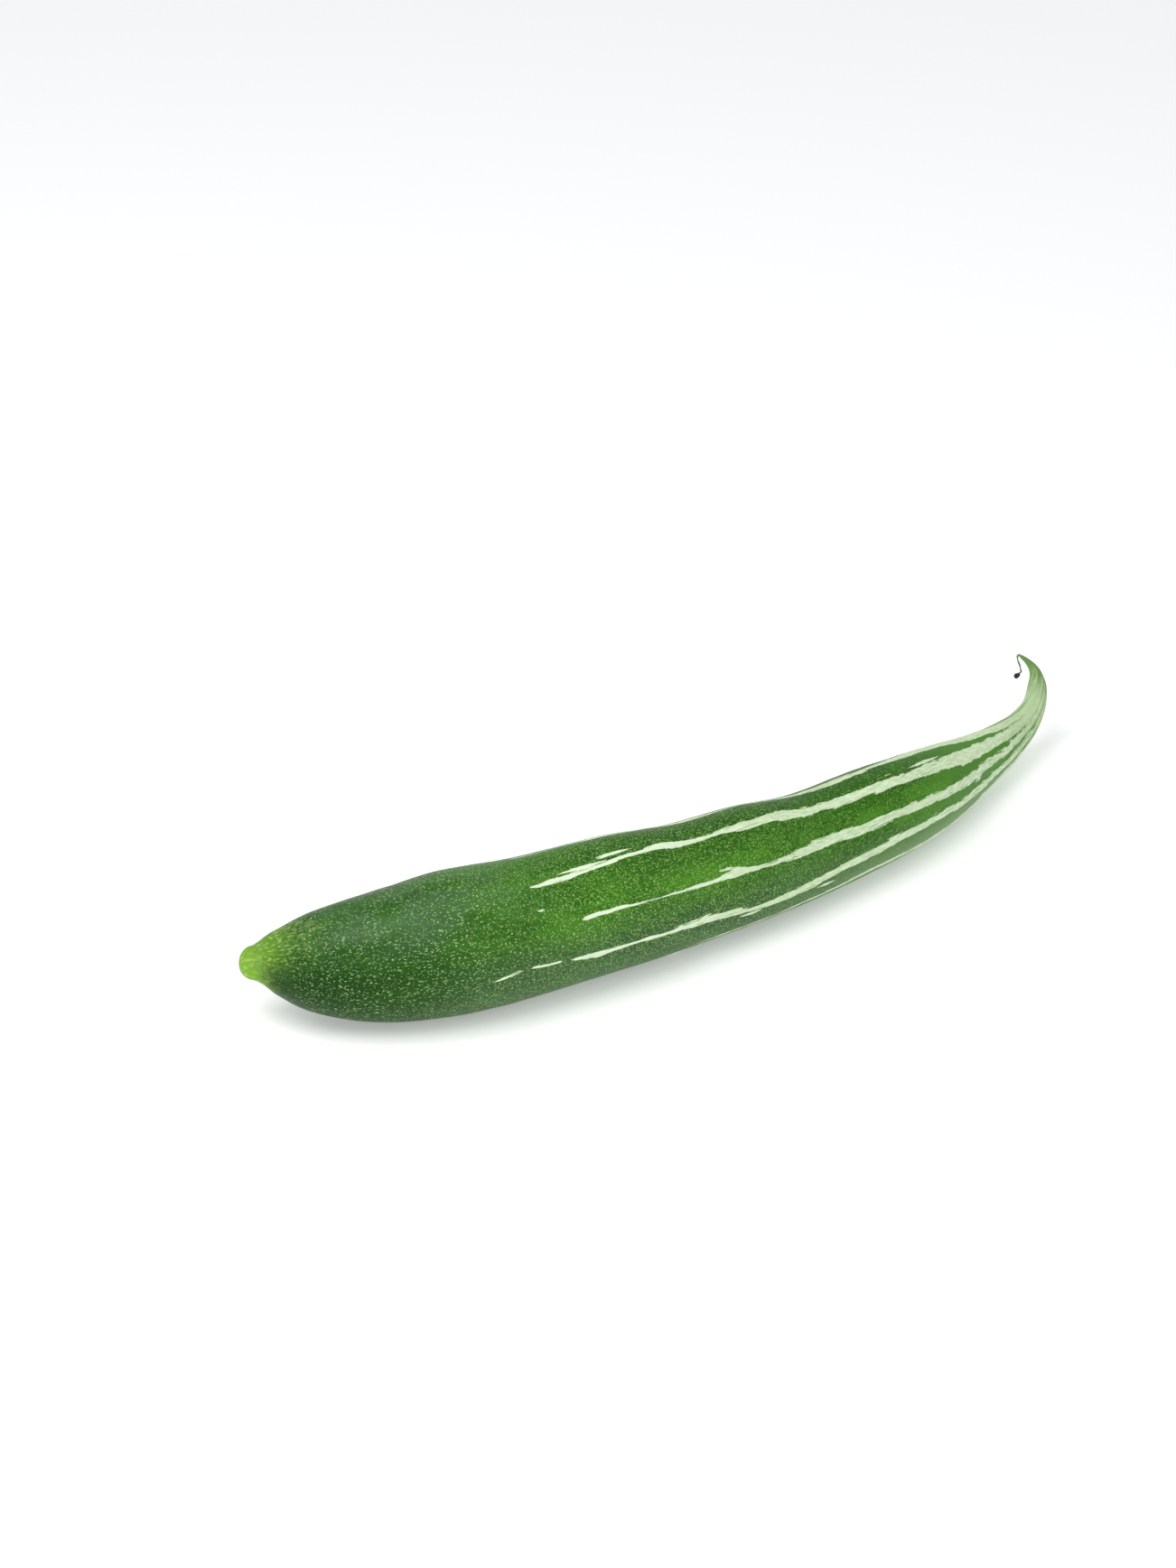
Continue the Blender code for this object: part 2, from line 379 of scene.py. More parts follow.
def stripeFields(distances, radii, angles):
    # at each ring and angle: the turn between stripes, mm per radian of it, and the half width
    rows = stripeRows()
    turn = np.zeros((len(distances), len(angles)))
    scale = np.zeros_like(turn)
    reach = np.zeros_like(turn)
    for r, distance in enumerate(distances * mm):
        centres = np.array([smooth(stripe, 1, distance) for stripe in rows])
        widths = np.array([smooth(stripe, 2, distance) for stripe in rows])
        centres = np.append(centres, centres[0] + 360.0)
        widths = np.append(widths, widths[0])
        around = (angles - centres[0]) % 360.0 + centres[0]
        k = np.clip(np.searchsorted(centres, around, side="right") - 1, 0, len(rows) - 1)
        gap = centres[k + 1] - centres[k]
        part = (around - centres[k]) / gap
        turn[r] = 2.0 * pi * (k + part)
        scale[r] = radii[r] * mm * np.radians(gap) / (2.0 * pi)
        reach[r] = between(widths[k], widths[k + 1], easeIn(part, 0.0, 1.0))
        filled = np.interp(distance, [row[0] for row in paleNeck], [row[1] for row in paleNeck])
        if filled > 0.0:
            reach[r] = np.maximum(reach[r], filled * pi * scale[r])
    return turn, scale, reach


def fleckFields(distances, radii, angles):
    # at each ring and angle, for the nearest fleck: mm from its middle line, and its half width
    offset = np.full((len(distances), len(angles)), noFleck["offset"])
    reach = np.full_like(offset, noFleck["reach"])
    for r, distance in enumerate(distances * mm):
        for start, end, angle, width in flecks:
            part = (2.0 * distance - start - end) / (end - start)
            if abs(part) < nearFleck["past"]:
                turned = (angles - angle + 180.0) % 360.0 - 180.0
                away = np.radians(turned) * radii[r] * mm
                near = np.abs(away) < np.minimum(np.abs(offset[r]), nearFleck["beside"])
                offset[r] = np.where(near, away, offset[r])
                reach[r] = np.where(near, max(noFleck["reach"], width * (1.0 - part * part)), reach[r])
    return offset, reach


def loft(name, rings, first, last):
    # a closed smooth mesh through rings of points, with a point at each end
    count, around = rings.shape[:2]
    points = np.concatenate([rings.reshape(-1, 3), [first, last]])
    faces = []
    for r in range(count - 1):
        for a in range(around):
            b = (a + 1) % around
            faces.append((r * around + a, r * around + b, (r + 1) * around + b, (r + 1) * around + a))
    tail = (count - 1) * around
    for a in range(around):
        b = (a + 1) % around
        faces.append((count * around, b, a))
        faces.append((count * around + 1, tail + a, tail + b))
    mesh = bpy.data.meshes.new(name)
    mesh.from_pydata(points.tolist(), [], faces)
    mesh.polygons.foreach_set("use_smooth", [True] * len(mesh.polygons))
    mesh.update()
    return addObject(name, mesh)


def addField(made, name, columns, first, last):
    # three values at each point of a loft, which its material reads by name
    values = np.concatenate([np.stack(columns, axis=2).reshape(-1, 3), [first, last]])
    field = made.data.attributes.new(name, "FLOAT_VECTOR", "POINT")
    field.data.foreach_set("vector", values.astype(np.float32).ravel())


def noiseGrid(points, seed):
    # smooth noise, about -1 to 1, at an array of points
    shift = Vector((seed, seed * 1.7, seed * 0.6))
    flat = [noise.noise(Vector(point) + shift) for point in points.reshape(-1, 3).tolist()]
    return np.array(flat).reshape(points.shape[:-1])


def directions(line):
    onward = np.gradient(line, axis=0)
    return onward / np.linalg.norm(onward, axis=1, keepdims=True)


def frameAcross(line):
    # the side and the top across each point of a line that never stands upright
    onward = directions(line)
    side = np.cross(np.array([0.0, 0.0, 1.0]), onward)
    side /= np.linalg.norm(side, axis=1, keepdims=True)
    return side, np.cross(onward, side)


# The relief on the skin: heights in metres, noise scales per mm along and across the fruit, and
# reaches in mm along it.
relief = {
    "lumpHeight": 0.00045,
    "lumpScale": (0.028, 0.06, 0.06),
    "lumpStart": (2.0, 30.0),
    "rippleHeight": 0.00006,
    "rippleScale": (0.16, 0.33, 0.33),
    "ribHeight": 0.00028,
    "ribScale": (0.05, 0.2, 0.2),
    "ribNoise": 0.4,
    "ribStart": (190.0, 318.0),
    "ribEnd": (345.0, 362.0),
    "ribEndLoss": 0.5,
    "puckerHeight": 0.00018,
    "puckers": 6,
    "puckerTurn": 0.7,
    "puckerStart": (0.2, 4.0),
    "puckerEnd": (6.0, 20.0),
    "scarDepth": 0.0004,
    "scarReach": (0.04, 0.45),
    "fullRadius": 3.0,  # mm; the relief dies away on a thinner part
    "seeds": {"lumps": 3.1, "ripple": 8.4, "ribs": 5.5},
}


def skinRelief(place, theta, turn):
    # long shallow lumps, a fine ripple, ribs on the neck, puckers round the nub and the scar's dip
    along = place[:, :, 0]
    seeds = relief["seeds"]
    lumps = noiseGrid(place * relief["lumpScale"], seeds["lumps"]) * easeIn(along, *relief["lumpStart"])
    ripple = noiseGrid(place * relief["rippleScale"], seeds["ripple"])
    uneven = noiseGrid(place * relief["ribScale"], seeds["ribs"])
    ribs = np.cos(turn) * between(1.0, uneven, relief["ribNoise"])
    ribs *= easeIn(along, *relief["ribStart"])
    ribs *= 1.0 - relief["ribEndLoss"] * easeIn(along, *relief["ribEnd"])
    puckers = np.cos(relief["puckers"] * theta + relief["puckerTurn"])
    puckers *= easeIn(along, *relief["puckerStart"]) * (1.0 - easeIn(along, *relief["puckerEnd"]))
    scar = 1.0 - easeIn(along, *relief["scarReach"])
    return (
        relief["lumpHeight"] * lumps
        + relief["rippleHeight"] * ripple
        + relief["ribHeight"] * ribs
        + relief["puckerHeight"] * puckers
        - relief["scarDepth"] * scar
    )


def buildSkin():
    rows = lieRows()
    line = walkMiddleLine(rows)
    distances = ringDistances()
    radii = np.array([skinRadius(rows, distance) for distance in distances])
    angles = np.arange(fruit["pointsAround"]) * 360.0 / fruit["pointsAround"]
    turn, scale, reach = stripeFields(distances, radii, angles)
    fleckOffset, fleckReach = fleckFields(distances, radii, angles)
    centres = readLine(line, distances)
    side, top = frameAcross(centres)

    # the place on the straightened fruit, in mm, which noise and patterns are laid out on
    theta, along = np.meshgrid(np.radians(angles), distances * mm)
    topward, sideward = np.cos(theta), np.sin(theta)
    across = radii[:, None] * mm
    place = np.stack([along, across * topward, across * sideward], axis=2)

    spread = radii[:, None] + skinRelief(place, theta, turn) * np.minimum(1.0, across / relief["fullRadius"])
    outward = top[:, None, :] * topward[:, :, None] - side[:, None, :] * sideward[:, :, None]
    rings = centres[:, None, :] + outward * spread[:, :, None]

    # the belly is pressed flat where it lies on the floor
    press = fruit["pressDepth"]
    low = rings[:, :, 2]
    rings[:, :, 2] = np.where(low < press, press * np.exp(np.minimum(low - press, 0.0) / press), low)

    skin = loft("gourd_skin", rings, line[0], line[-1])
    none = np.zeros_like(along)
    addField(skin, "skinPlace", (along, place[:, :, 1], place[:, :, 2]), (0.0, 0.0, 0.0),
             (fruit["length"] * mm, 0.0, 0.0))
    addField(skin, "stripeTurn", (np.cos(turn), np.sin(turn), scale), (1.0, 0.0, 0.1), (1.0, 0.0, 0.1))
    addField(skin, "stripeSize", (reach, topward, sideward), (-1.0, 0.0, 0.0), (3.0, 0.0, 0.0))
    away = (noFleck["offset"], noFleck["reach"], 0.0)
    addField(skin, "fleckLine", (fleckOffset, fleckReach, none), away, away)
    return skin, line[-1]


# The skin's finish. Colours are as they look on screen, and lengths are in mm. A cloud is noise: its
# scale per mm along and across the fruit, detail and roughness, and a cut is the pair of noise values
# that a mask fades between. A stretch of two numbers is a fade along the fruit from 0 to 1, and one
# of four fades out again. A shift is how far noise or the height moves a stretch. A height is a fade
# round the section, where 1 is the top and -1 underneath.
skinFinish = {
    "leaf": tint(72, 132, 28),
    "leafDark": tint(44, 98, 16),
    "leafLight": tint(88, 142, 36),
    # painted shade on top of the belly
    "topShadeGreen": tint(26, 76, 4),
    # painted shade near the nub, darkest on its lower side
    "nubShadeGreen": tint(18, 58, 8),
    "leafNeck": tint(82, 142, 40),
    # painted shade low on the belly
    "lowShadeGreen": tint(50, 76, 50),
    # greyish bloom, partly painted sheen
    "bloom": tint(92, 124, 92),
    # painted reflection of the floor, paler underneath
    "underside": tint(138, 162, 122),
    "nub": tint(122, 172, 48),
    "nubPale": tint(178, 204, 120),
    "scar": tint(92, 74, 44),
    "scarRim": tint(160, 142, 92),
    "dash": tint(160, 194, 134),
    "dot": tint(170, 208, 130),
    "sand": tint(112, 160, 66),
    "pale": tint(224, 244, 207),
    "paleShade": tint(197, 219, 175),
    "paleStart": tint(236, 252, 222),
    "tail": tint(166, 190, 138),
    "tailGreen": tint(106, 142, 74),
    "rough": 0.42,
    "specular": 0.12,
    "sheen": 0.02,
    "sheenRough": 0.5,
    "bumpDepth": 0.00012,  # metres
    "bumps": {"fine": 0.5, "pale": 0.25, "ragged": 0.5, "stripe": 0.35, "speckle": 0.3},
    "glossLoss": {"fine": 0.10, "patch": 0.12, "stripe": 0.10, "nub": 0.08},
    "patchStreaks": 0.35,
    "collarBelow": 0.15,
    "clouds": {
        "patch": ((0.045, 0.10, 0.10), 3.0, 0.55),
        "fine": ((0.55, 0.9, 0.9), 3.0, 0.6),
        "streak": ((0.05, 0.7, 0.7), 2.0, 0.5),
        "bloom": ((0.06, 0.12, 0.12), 2.0, 0.5),
        "sand": ((1.3, 1.8, 1.8), 1.0, 0.4),
        "raggedLong": ((0.11, 0.95, 0.95), 3.0, 0.55),
        "raggedFine": ((0.40, 2.2, 2.2), 2.0, 0.55),
        "wander": ((0.07, 0.25, 0.25), 2.0, 0.5),
        "slit": ((0.08, 1.5, 1.5), 2.0, 0.5),
        "pale": ((0.35, 1.1, 1.1), 4.0, 0.65),
        "tail": ((0.035, 0.9, 0.9), 3.0, 0.6),
        "nubEdge": ((0.10, 0.7, 0.7), 3.0, 0.5),
        "nub": ((0.2, 0.7, 0.7), 3.0, 0.5),
        "collar": ((0.06, 1.3, 1.3), 3.0, 0.55),
        "scar": ((1.0, 1.6, 1.6), 2.0, 0.5),
    },
    "cuts": {
        "patch": (0.36, 0.66), "fine": (0.45, 0.72), "bloom": (0.25, 0.6), "dash": (0.2, 0.75),
        "sand": (0.52, 0.68), "slit": (0.60, 0.66), "pale": (0.35, 0.68), "tail": (0.40, 0.62),
        "nub": (0.45, 0.75), "collar": (0.46, 0.74),
    },
    "stretches": {
        "neck": (225.0, 300.0),
        "deep": (110.0, 50.0),
        "deepSide": (80.0, 25.0),
        "crest": (80.0, 130.0),
        "bloom": (14.0, 34.0, 60.0, 110.0),
        "bloomSide": (50.0, 90.0),
        "low": (45.0, 90.0, 190.0, 270.0),
        "underside": (165.0, 265.0),
        "dashes": (9.0, 22.0, 62.0, 90.0),
        "dotsThin": (12.0, 26.0),
        "dotsFull": (42.0, 70.0),
        "dotsEnd": (245.0, 140.0),
        "sand": (50.0, 110.0, 240.0, 290.0),
        "softEdge": (298.0, 346.0),
        "paleStart": (180.0, 125.0),
        "paleEnd": (300.0, 330.0),
        "tail": (338.0, 354.0),
        "tip": (350.0, 358.0),
        "nubTop": (21.0, 8.0),
        "nub": (12.0, 1.0),
        "collar": (24.0, 6.0),
        "scarRim": (0.30, 0.12),
        "scar": (0.12, 0.02),
    },
    "shifts": {
        "dots": 20.0, "paleEnd": 30.0, "tip": 10.0, "tail": 14.0, "collarTop": 9.0, "nubEdge": 8.0,
        "nubTop": 2.5, "nubSide": 2.0, "scar": 0.10,
    },
    "heights": {
        "deepSide": (0.9, 0.1), "crest": (0.55, 1.0), "bloom": (0.2, 0.9), "bloomSide": (0.35, -0.35),
        "low": (0.65, -0.15), "underside": (0.15, -0.70), "nub": (-0.1, 0.8),
    },
    "strengths": {
        "light": 0.7, "neck": 0.8, "deep": 0.58, "deepSide": 0.34, "crest": 0.8, "bloomTop": 0.7,
        "bloomSide": 0.6, "bloom": 0.5, "low": 0.65, "underside": 0.7, "sand": 0.75, "dashes": 0.85,
        "dots": 0.9, "slit": 0.8, "paleStart": 0.7, "paleEnd": 0.5, "nubTop": 0.55, "collar": 0.75,
        "scarRim": 0.8, "scar": 0.9,
    },
    "speckles": {
        "warpScale": 0.8,
        "warp": (0.9, 0.9, 0.9),
        "dashScale": (0.62, 1.55, 1.55),
        "dashWidth": 0.25,
        "dashFaintest": 0.25,
        "dotScale": (1.15, 1.35, 1.35),
        "dotWidth": 0.26,
        "dotFaintest": 0.45,
    },
    "edges": {
        "fill": 0.92,  # share of a stripe's half width
        "wander": 1.6,
        "ragged": 2.2,
        "raggedUpper": 0.8,  # added at the edge with the smaller angle
        "upper": (0.4, -0.4),  # from the stripe's middle line
        "narrow": 0.4,  # share of the raggedness that a thin stripe keeps
        "narrowTo": (0.3, 1.5),
        "edge": (-0.10, 0.16),
        "soften": (0.7, 0.8),  # wider by this at the tail
        "fleckRagged": (0.5, 0.8),
        "fleckEdge": (-0.08, 0.14),
        "slitReach": (3.2, 1.0),
        "slitOffset": (0.0, 0.6),
    },
}


def atLeast(least, mask):
    return least + (1.0 - least) * mask


def speckleMasks(finish, place, along, cloud):
    # three sizes of speckle: dashes by the nub, dots on the belly, sand between
    size, stretch, shift, cut = (skinFinish[key] for key in ("speckles", "stretches", "shifts", "cuts"))
    sockets = {"Vector": place, "Scale": size["warpScale"], "Detail": 1.0}
    jitter = finish.node("ShaderNodeTexNoise", {}, sockets, "Color")
    sockets = {0: jitter, 1: size["warp"], 2: place}
    warped = finish.node("ShaderNodeVectorMath", {"operation": "MULTIPLY_ADD"}, sockets)

    dashes, pick = finish.spots(warped, size["dashScale"], size["dashWidth"])
    dashes = dashes * atLeast(size["dashFaintest"], finish.fade(pick, *cut["dash"]))
    dashes = dashes * finish.span(along, *stretch["dashes"])

    dots, pick = finish.spots(warped, size["dotScale"], size["dotWidth"])
    full = finish.fade(along + shift["dots"] * (cloud["patch"] - 0.5), *stretch["dotsFull"])
    crowd = 0.5 * finish.fade(along, *stretch["dotsThin"]) + 0.5 * full
    dots = dots * crowd * finish.fade(along, *stretch["dotsEnd"]) * atLeast(size["dotFaintest"], pick)

    sand = finish.fade(cloud["sand"], *cut["sand"]) * finish.span(along, *stretch["sand"])
    return dashes, dots, sand


def stripeMask(finish, along, reach, cloud):
    # pale stripes with ragged edges, flecks beside them and slits inside
    edges = skinFinish["edges"]
    turnCos, turnSin, turnScale = finish.parts(finish.attribute("stripeTurn"))
    offset = finish.node("ShaderNodeMath", {"operation": "ARCTAN2"}, {0: turnSin, 1: turnCos}) * turnScale
    long = cloud["raggedLong"] - 0.5
    short = cloud["raggedFine"] - 0.5
    wander = edges["wander"] * (cloud["wander"] - 0.5)
    ragged = long * (edges["ragged"] + edges["raggedUpper"] * finish.fade(offset, *edges["upper"])) + short
    loose = atLeast(edges["narrow"], finish.fade(reach, *edges["narrowTo"]))
    inside = edges["fill"] * reach - abs(offset + wander) + loose * ragged
    soft = finish.fade(along, *skinFinish["stretches"]["softEdge"])
    (low, high), (softLow, softHigh) = edges["edge"], edges["soften"]
    stripe = finish.fade(inside, low - softLow * soft, high + softHigh * soft)

    fleckOffset, fleckReach = finish.parts(finish.attribute("fleckLine"))[:2]
    longShare, shortShare = edges["fleckRagged"]
    inside = fleckReach - abs(fleckOffset) + longShare * long + shortShare * short
    fleck = finish.fade(inside, *edges["fleckEdge"])
    stripe = finish.node("ShaderNodeMath", {"operation": "MAXIMUM"}, {0: stripe, 1: fleck})

    slit = finish.fade(cloud["slit"], *skinFinish["cuts"]["slit"]) * finish.fade(reach, *edges["slitReach"])
    slit = slit * finish.fade(abs(offset), *edges["slitOffset"]) * (1.0 - soft)
    return stripe * (1.0 - skinFinish["strengths"]["slit"] * slit)


def skinMaterial():
    look = skinFinish
    cut, stretch, shift = (look[key] for key in ("cuts", "stretches", "shifts"))
    height, strength = look["heights"], look["strengths"]
    finish = Finish("gourd_skin_waxy")
    place = finish.attribute("skinPlace")
    along = finish.parts(place)[0]
    reach, topward, sideward = finish.parts(finish.attribute("stripeSize"))
    cloud = {name: finish.cloud(place, *values) for name, values in look["clouds"].items()}
    streak = cloud["streak"] - 0.5

    # ground green, with cloudy patches of light and dark, and streaks along the fruit
    patches = finish.fade(cloud["patch"] + look["patchStreaks"] * streak, *cut["patch"])
    green = finish.mix(patches, look["leafDark"], look["leaf"])
    light = finish.fade(cloud["fine"], *cut["fine"])
    green = finish.mix(strength["light"] * light, green, look["leafLight"])
    neckward = finish.fade(along, *stretch["neck"])
    green = finish.mix(strength["neck"] * neckward, green, look["leafNeck"])

    # painted shade: darker near the nub, more so below its top, and along the top of the belly
    nubLowSide = finish.fade(topward, *height["deepSide"]) * finish.fade(along, *stretch["deepSide"])
    deep = strength["deep"] * finish.fade(along, *stretch["deep"]) + strength["deepSide"] * nubLowSide
    green = finish.mix(deep, green, look["nubShadeGreen"])
    # painted shade: the top of the belly darker, away from the neck
    crest = finish.fade(topward, *height["crest"]) * finish.fade(along, *stretch["crest"]) * (1.0 - neckward)
    green = finish.mix(strength["crest"] * crest, green, look["topShadeGreen"])

    # greyish bloom on top of the shoulder and low on the belly, partly real wax bloom and partly painted
    # sheen
    crown = finish.span(along, *stretch["bloom"]) * finish.fade(topward, *height["bloom"])
    flank = finish.fade(topward, *height["bloomSide"]) * finish.fade(along, *stretch["bloomSide"])
    bloom = strength["bloomTop"] * crown + strength["bloomSide"] * flank
    bloom = bloom * finish.fade(cloud["bloom"], *cut["bloom"])
    green = finish.mix(strength["bloom"] * bloom, green, look["bloom"])
    # painted shade: darker and greyer low on the belly
    low = finish.fade(topward, *height["low"]) * finish.span(along, *stretch["low"])
    green = finish.mix(strength["low"] * low, green, look["lowShadeGreen"])

    # paler underneath towards the neck: a painted reflection of the white floor
    under = finish.fade(topward, *height["underside"]) * finish.fade(along, *stretch["underside"])
    green = finish.mix(strength["underside"] * under, green, look["underside"])

    dashes, dots, sand = speckleMasks(finish, place, along, cloud)
    green = finish.mix(strength["sand"] * sand, green, look["sand"])
    green = finish.mix(strength["dashes"] * dashes, green, look["dash"])
    green = finish.mix(strength["dots"] * dots, green, look["dot"])

    # the stripes are whitest where they start, and greener near the tail
    stripe = stripeMask(finish, along, reach, cloud)
    pale = finish.mix(finish.fade(cloud["pale"], *cut["pale"]), look["paleShade"], look["pale"])
    starting = finish.fade(along, *stretch["paleStart"])
    pale = finish.mix(strength["paleStart"] * starting, pale, look["paleStart"])
    ending = finish.fade(along + shift["paleEnd"] * streak, *stretch["paleEnd"])
    pale = finish.mix(strength["paleEnd"] * ending, pale, look["tail"])
    surface = finish.mix(stripe, green, pale)

    # the tail turns plain pale green with soft streaks, then green at its tip
    tail = finish.mix(finish.fade(cloud["tail"], *cut["tail"]), look["tailGreen"], look["tail"])
    tipMask = finish.fade(along + shift["tip"] * streak, *stretch["tip"])
    tail = finish.mix(tipMask, tail, look["tailGreen"])
    tailMask = finish.fade(along + shift["tail"] * (cloud["tail"] - 0.5), *stretch["tail"])
    surface = finish.mix(tailMask, surface, tail)

    # yellow-green nub, and a pale streaky collar that reaches further back on top
    onTop = finish.fade(topward, *height["nub"])
    nubTop = onTop * finish.fade(along, *stretch["nubTop"])
    surface = finish.mix(strength["nubTop"] * nubTop, surface, look["nub"])
    collar = finish.fade(cloud["collar"], *cut["collar"]) * atLeast(look["collarBelow"], onTop)
    collar = collar * finish.fade(along - shift["collarTop"] * topward, *stretch["collar"])
    surface = finish.mix(strength["collar"] * collar, surface, look["nubPale"])
    nubPlace = along + shift["nubEdge"] * (cloud["nubEdge"] - 0.5)
    nubPlace = nubPlace + shift["nubTop"] * topward - shift["nubSide"] * abs(sideward)
    nub = finish.fade(nubPlace, *stretch["nub"])
    nubTone = finish.mix(finish.fade(cloud["nub"], *cut["nub"]), look["nub"], look["nubPale"])
    surface = finish.mix(nub, surface, nubTone)

    # the corky scar where the blossom fell off
    scarPlace = along + shift["scar"] * (cloud["scar"] - 0.5)
    for name in ("scarRim", "scar"):
        scar = finish.fade(scarPlace, *stretch[name])
        surface = finish.mix(strength[name] * scar, surface, look[name])

    # a fine grain under everything, and pale marks that stand a little proud and shine less
    bumps, dull = look["bumps"], look["glossLoss"]
    grain = bumps["fine"] * cloud["fine"] + bumps["pale"] * cloud["pale"]
    grain = grain + bumps["ragged"] * (cloud["raggedLong"] - 0.5)
    marks = bumps["stripe"] * stripe + bumps["speckle"] * dots + bumps["speckle"] * dashes
    rough = look["rough"] + dull["fine"] * (cloud["fine"] - 0.5) + dull["patch"] * (cloud["patch"] - 0.5)
    finish.set(
        Base_Color=surface,
        Roughness=rough + dull["stripe"] * stripe + dull["nub"] * nub,
        Normal=finish.bump(grain + marks, look["bumpDepth"]),
        Specular_IOR_Level=look["specular"],
        Sheen_Weight=look["sheen"],
        Sheen_Roughness=look["sheenRough"],
    )
    return finish.material


# The dried stalk. Route points are metres from the fruit's tip. The ramp's stops run from the
# fruit's end to the knob's.
thread = {
    "route": (
        (0.0003, -0.0005, -0.0003), (0.0000, 0.0000, 0.0000), (-0.00045, 0.00064, 0.0002),
        (-0.00069, 0.00079, -0.0004), (-0.00054, 0.00054, -0.0019), (-0.00004, 0.00004, -0.0037),
        (0.00026, -0.00016, -0.0055), (0.00036, -0.00026, -0.0063), (0.0000, 0.0000, -0.0067),
        (-0.0003, 0.0002, -0.0071),
    ),
    "startRadius": 0.00042,
    "endRadius": 0.00024,
    "taperRate": 2.4,
    "ribCount": 3,
    "ribDepth": 0.28,
    "twist": 9.0,
    "swell": 0.35,
    "swellRate": 9.0,
    "swellSeed": 4.2,
    "crease": 0.15,
    "creaseRate": 30.0,
    "endShare": 0.03,
    "endLeast": 0.15,
    "rings": 90,
    "around": 20,
    "tones": (
        (0.0, tint(120, 156, 80)), (0.20, tint(116, 144, 82)), (0.50, tint(104, 122, 78)),
        (0.80, tint(84, 92, 64)), (1.0, tint(44, 46, 34)),
    ),
    "dryTone": tint(128, 132, 86),
    "dryShare": 0.5,
    "dryCut": (0.5, 0.8),
    "fibre": ((22.0, 3.5, 3.5), 4.0, 0.6),
    "fibreShift": 0.16,
    "bumpDepth": 0.00008,
    "rough": 0.62,
    "roughShift": 0.2,
}


def smoothRoute(points, count):
    # a Catmull-Rom curve through the points
    ends = np.array([2 * points[0] - points[1], *points, 2 * points[-1] - points[-2]])
    made = []
    for value in np.linspace(0.0, len(points) - 1 - 1e-9, count):
        i = int(value)
        t = value - i
        a, b, c, d = ends[i:i + 4]
        bend = (2 * a - 5 * b + 4 * c - d) * t * t + (3 * b - a - 3 * c + d) * t ** 3
        made.append(0.5 * (2 * b + (c - a) * t + bend))
    return np.array(made)


def tubeRings(line, radiusAt, around):
    # rings across a line, carried along it without twisting
    onward = directions(line)
    aside = np.array([0.31, 0.93, 0.21])  # any direction but the line's own
    side = np.cross(onward[0], aside)
    side /= np.linalg.norm(side)
    angles = np.arange(around) * 2.0 * pi / around
    rings = []
    for number, (centre, ahead) in enumerate(zip(line, onward)):
        side = side - ahead * np.dot(side, ahead)
        side /= np.linalg.norm(side)
        top = np.cross(ahead, side)
        part = number / (len(line) - 1)
        radius = np.array([radiusAt(part, angle) for angle in angles])[:, None]
        rings.append(centre + radius * (np.cos(angles)[:, None] * side + np.sin(angles)[:, None] * top))
    return np.array(rings)


def threadRadius(part, angle):
    shrink = between(thread["startRadius"], thread["endRadius"], min(1.0, part * thread["taperRate"]))
    swelling = noise.noise(Vector((part * thread["swellRate"], 0.0, thread["swellSeed"])))
    creasing = noise.noise(Vector((part * thread["creaseRate"], cos(angle), sin(angle))))
    swell = 1.0 + thread["swell"] * swelling
    crease = 1.0 + thread["crease"] * creasing
    twisted = 1.0 + thread["ribDepth"] * cos(thread["ribCount"] * angle + thread["twist"] * part)
    ending = min(1.0, min(part, 1.0 - part) / thread["endShare"])
    close = max(sqrt(max(0.0, 1.0 - (1.0 - ending) ** 2)), thread["endLeast"])
    return shrink * swell * twisted * crease * close


def buildThread(tip):
    route = smoothRoute(np.array([tip + np.array(offset) for offset in thread["route"]]), thread["rings"])
    rings = tubeRings(route, threadRadius, thread["around"])
    made = loft("stalk_thread_twisted", rings, route[0], route[-1])
    turns = np.arange(thread["around"]) * 2.0 * pi / thread["around"]
    angles, parts = np.meshgrid(turns, np.linspace(0.0, 1.0, thread["rings"]))
    addField(made, "threadPlace", (parts, np.cos(angles), np.sin(angles)), (0.0, 0.0, 0.0), (1.0, 0.0, 0.0))
    return made


def threadMaterial():
    finish = Finish("dried_stalk_fibre")
    place = finish.attribute("threadPlace")
    part = finish.parts(place)[0]
    fibre = finish.cloud(place, *thread["fibre"])
    tone = finish.ramp(part + thread["fibreShift"] * (fibre - 0.5), thread["tones"])
    tone = finish.mix(thread["dryShare"] * finish.fade(fibre, *thread["dryCut"]), tone, thread["dryTone"])
    finish.set(
        Base_Color=tone,
        Roughness=thread["rough"] + thread["roughShift"] * (fibre - 0.5),
        Normal=finish.bump(fibre, thread["bumpDepth"]),
    )
    return finish.material


# The withered knob at the end of the stalk, in metres.
knob = {
    "length": 0.0024,
    "width": 0.0017,
    "ahead": (-0.57, 0.42, -0.71),
    "bluntness": 0.8,
    "lopsided": 0.15,
    "wrinkle": 0.24,
    "wrinkleScales": (1.3, 3.1),
    "wrinkleStretch": (1.4, 1.6),
    "folds": 5,
    "foldDepth": 0.10,
    "foldTwist": 2.0,
    "rings": 36,
    "around": 44,
    "tones": ((0.30, tint(14, 18, 10)), (0.55, tint(34, 40, 24)), (0.80, tint(86, 88, 62))),
    "crust": ((1400.0, 1400.0, 1400.0), 4.0, 0.65),  # scale per metre
    "bumpDepth": 0.00012,
    "rough": 0.72,
    "roughShift": 0.3,
}


